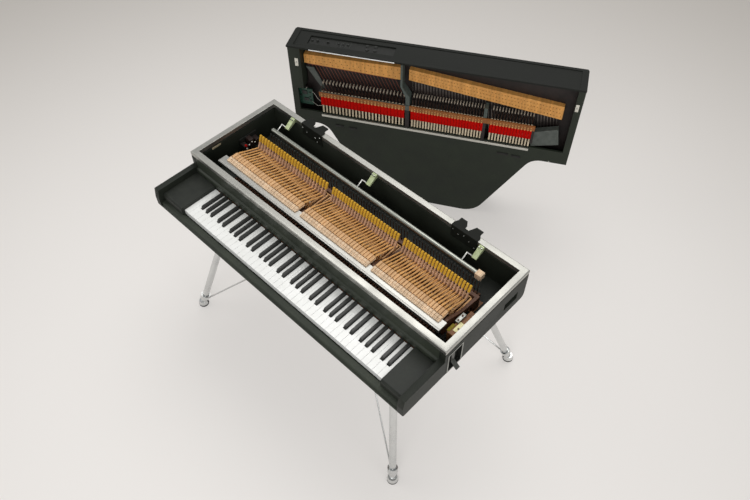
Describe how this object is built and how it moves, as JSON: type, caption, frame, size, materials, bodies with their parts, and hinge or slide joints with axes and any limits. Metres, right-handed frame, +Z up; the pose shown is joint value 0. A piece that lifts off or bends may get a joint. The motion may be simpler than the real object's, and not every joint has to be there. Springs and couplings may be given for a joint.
{
  "type": "electric grand piano",
  "caption": "Electric grand piano opened for service: keyboard section with open hammer action on splayed chrome legs, harp section standing on its tail behind it.",
  "frame": {"origin": "middle of the footprint of the whole set, on the floor", "axes": "+X along the keyboard from the bass to the treble, +Y from the player towards the back, +Z up"},
  "size_m": [1.5364, 1.586, 0.828],
  "materials": {
    "vinyl": "pebbled black vinyl cloth glued on plywood",
    "rim_aluminium": "extruded, satin",
    "rail_aluminium": "extruded, satin",
    "white_keys": "moulded white key tops on spruce sticks",
    "black_keys": "moulded black sharps on spruce sticks",
    "action_wood": "bare hornbeam, sanded",
    "frame_wood": "stained, satin",
    "cast_brown": "brown enamel on castings",
    "chrome": "polished",
    "plated_steel": "yellow passivated zinc plating",
    "black_steel": "satin black paint",
    "pin_block_wood": "amber varnish",
    "cast_iron": "grey paint",
    "string_steel": "bare and copper wound wire",
    "felt": "red pressed felt on wood levers",
    "board": "green solder mask",
    "knob_plastic": "moulded"
  },
  "bodies": {
    "keyboard_section": {"lower_case": "vinyl", "rim_frame": "rim_aluminium", "key_slip": "vinyl", "cheek_block_left": "vinyl", "cheek_block_right": "vinyl", "fallboard": "vinyl", "key_frame": "frame_wood", "relay_stack": "black_steel", "action_end_block": "frame_wood", "hammer_rail": "rail_aluminium", "action_frame": "cast_brown", "lift_bracket_bass": "plated_steel", "lift_bracket_middle": "plated_steel", "lift_bracket_treble": "plated_steel", "hook_plate_left": "black_steel", "hook_plate_right": "black_steel", "latch_dish_left": "black_steel", "latch_dish_right": "black_steel", "leg_front_left": "chrome", "brace_front_left": "chrome", "leg_back_left": "chrome", "brace_back_left": "chrome", "leg_front_right": "chrome", "brace_front_right": "chrome", "leg_back_right": "chrome", "brace_back_right": "chrome"},
    "keys_bass": {"white_keys_bass": "white_keys", "black_keys_bass": "black_keys"},
    "wippens_bass": {"wippens_bass": "action_wood"},
    "hammers_bass": {"hammers_bass": "action_wood"},
    "keys_middle": {"white_keys_middle": "white_keys", "black_keys_middle": "black_keys"},
    "wippens_middle": {"wippens_middle": "action_wood"},
    "hammers_middle": {"hammers_middle": "action_wood"},
    "keys_treble": {"white_keys_treble": "white_keys", "black_keys_treble": "black_keys"},
    "wippens_treble": {"wippens_treble": "action_wood"},
    "hammers_treble": {"hammers_treble": "action_wood"},
    "lift_rail": {"lift_rail": "rail_aluminium"},
    "latch_lever_left": {"latch_lever_left": "chrome"},
    "latch_lever_right": {"latch_lever_right": "chrome"},
    "harp_section": {"harp_case": "vinyl", "control_plate": "black_steel", "pin_block_bass": "pin_block_wood", "pin_block_treble": "pin_block_wood", "iron_plate": "cast_iron", "strings_bass": "string_steel", "strings_treble": "string_steel", "damper_frame": "frame_wood", "damper_stop_rail": "rail_aluminium", "preamp_board": "board"},
    "dampers_bass": {"dampers_bass": "felt"},
    "slider_bass": {"slider_bass": "knob_plastic"},
    "dampers_middle": {"dampers_middle": "felt"},
    "slider_middle": {"slider_middle": "knob_plastic"},
    "dampers_treble": {"dampers_treble": "felt"},
    "slider_treble": {"slider_treble": "knob_plastic"},
    "volume_knob": {"volume_knob": "knob_plastic"},
    "tremolo_knob": {"tremolo_knob": "knob_plastic"}
  },
  "joints": [
    {"name": "key_bass", "type": "hinge", "parent": "keyboard_section", "child": "keys_bass", "pos_m": [0.11817, -0.53716, 0.658], "axis": [1, 0, 0], "range_deg": [0, 2.67], "stiffness_Nm_per_rad": 20, "springref_deg": -8.59},
    {"name": "wippen_bass", "type": "hinge", "parent": "keyboard_section", "child": "wippens_bass", "pos_m": [0.11817, -0.34066, 0.698], "axis": [-1, 0, 0], "range_deg": [0, 4.4]},
    {"name": "hammer_bass", "type": "hinge", "parent": "keyboard_section", "child": "hammers_bass", "pos_m": [0.11817, -0.46566, 0.769], "axis": [1, 0, 0], "range_deg": [0, 21.6]},
    {"name": "key_middle", "type": "hinge", "parent": "keyboard_section", "child": "keys_middle", "pos_m": [0.11817, -0.53716, 0.658], "axis": [1, 0, 0], "range_deg": [0, 2.67], "stiffness_Nm_per_rad": 20, "springref_deg": -8.59},
    {"name": "wippen_middle", "type": "hinge", "parent": "keyboard_section", "child": "wippens_middle", "pos_m": [0.11817, -0.34066, 0.698], "axis": [-1, 0, 0], "range_deg": [0, 4.4]},
    {"name": "hammer_middle", "type": "hinge", "parent": "keyboard_section", "child": "hammers_middle", "pos_m": [0.11817, -0.46566, 0.769], "axis": [1, 0, 0], "range_deg": [0, 21.6]},
    {"name": "key_treble", "type": "hinge", "parent": "keyboard_section", "child": "keys_treble", "pos_m": [0.11817, -0.53716, 0.658], "axis": [1, 0, 0], "range_deg": [0, 2.67], "stiffness_Nm_per_rad": 20, "springref_deg": -8.59},
    {"name": "wippen_treble", "type": "hinge", "parent": "keyboard_section", "child": "wippens_treble", "pos_m": [0.11817, -0.34066, 0.698], "axis": [-1, 0, 0], "range_deg": [0, 4.4]},
    {"name": "hammer_treble", "type": "hinge", "parent": "keyboard_section", "child": "hammers_treble", "pos_m": [0.11817, -0.46566, 0.769], "axis": [1, 0, 0], "range_deg": [0, 21.6]},
    {"name": "lift_rail_swing", "type": "hinge", "parent": "keyboard_section", "child": "lift_rail", "pos_m": [0.11817, -0.23766, 0.754], "axis": [-1, 0, 0], "range_deg": [0, 10]},
    {"name": "latch_lever_left_swing", "type": "hinge", "parent": "keyboard_section", "child": "latch_lever_left", "pos_m": [-0.50383, -0.54566, 0.715], "axis": [0, 1, 0], "range_deg": [0, 70]},
    {"name": "latch_lever_right_swing", "type": "hinge", "parent": "keyboard_section", "child": "latch_lever_right", "pos_m": [0.74017, -0.54566, 0.715], "axis": [0, -1, 0], "range_deg": [0, 70]},
    {"name": "harp_lift_off", "type": "slide", "parent": "keyboard_section", "child": "harp_section", "axis": [0, 0, 1], "range_m": [0, 0.9]},
    {"name": "damper_bass", "type": "hinge", "parent": "harp_section", "child": "dampers_bass", "pos_m": [-0.15321, 0.37242, 0.5915], "axis": [0.8766, 0.4811, 0], "range_deg": [0, 3.5], "stiffness_Nm_per_rad": 2, "springref_deg": -5.73},
    {"name": "damper_middle", "type": "hinge", "parent": "harp_section", "child": "dampers_middle", "pos_m": [-0.15321, 0.37242, 0.5915], "axis": [0.8766, 0.4811, 0], "range_deg": [0, 3.5], "stiffness_Nm_per_rad": 2, "springref_deg": -5.73},
    {"name": "damper_treble", "type": "hinge", "parent": "harp_section", "child": "dampers_treble", "pos_m": [-0.15321, 0.37242, 0.5915], "axis": [0.8766, 0.4811, 0], "range_deg": [0, 3.5], "stiffness_Nm_per_rad": 2, "springref_deg": -5.73},
    {"name": "slider_bass_travel", "type": "slide", "parent": "harp_section", "child": "slider_bass", "axis": [-0.4811, 0.8766, 0], "range_m": [-0.012, 0.012]},
    {"name": "slider_middle_travel", "type": "slide", "parent": "harp_section", "child": "slider_middle", "axis": [-0.4811, 0.8766, 0], "range_m": [-0.012, 0.012]},
    {"name": "slider_treble_travel", "type": "slide", "parent": "harp_section", "child": "slider_treble", "axis": [-0.4811, 0.8766, 0], "range_m": [-0.012, 0.012]},
    {"name": "volume_knob_turn", "type": "hinge", "parent": "harp_section", "child": "volume_knob", "pos_m": [-0.6314, 0.17955, 0.822], "axis": [0, 0, 1], "range_deg": [-140, 140]},
    {"name": "tremolo_knob_turn", "type": "hinge", "parent": "harp_section", "child": "tremolo_knob", "pos_m": [-0.5902, 0.20216, 0.822], "axis": [0, 0, 1], "range_deg": [-140, 140]}
  ],
  "couplings": [
    {"joint": "wippen_bass", "follows": "key_bass", "ratio": 1.61},
    {"joint": "hammer_bass", "follows": "key_bass", "ratio": 8.05},
    {"joint": "wippen_middle", "follows": "key_middle", "ratio": 1.61},
    {"joint": "hammer_middle", "follows": "key_middle", "ratio": 8.05},
    {"joint": "wippen_treble", "follows": "key_treble", "ratio": 1.61},
    {"joint": "hammer_treble", "follows": "key_treble", "ratio": 8.05}
  ]
}
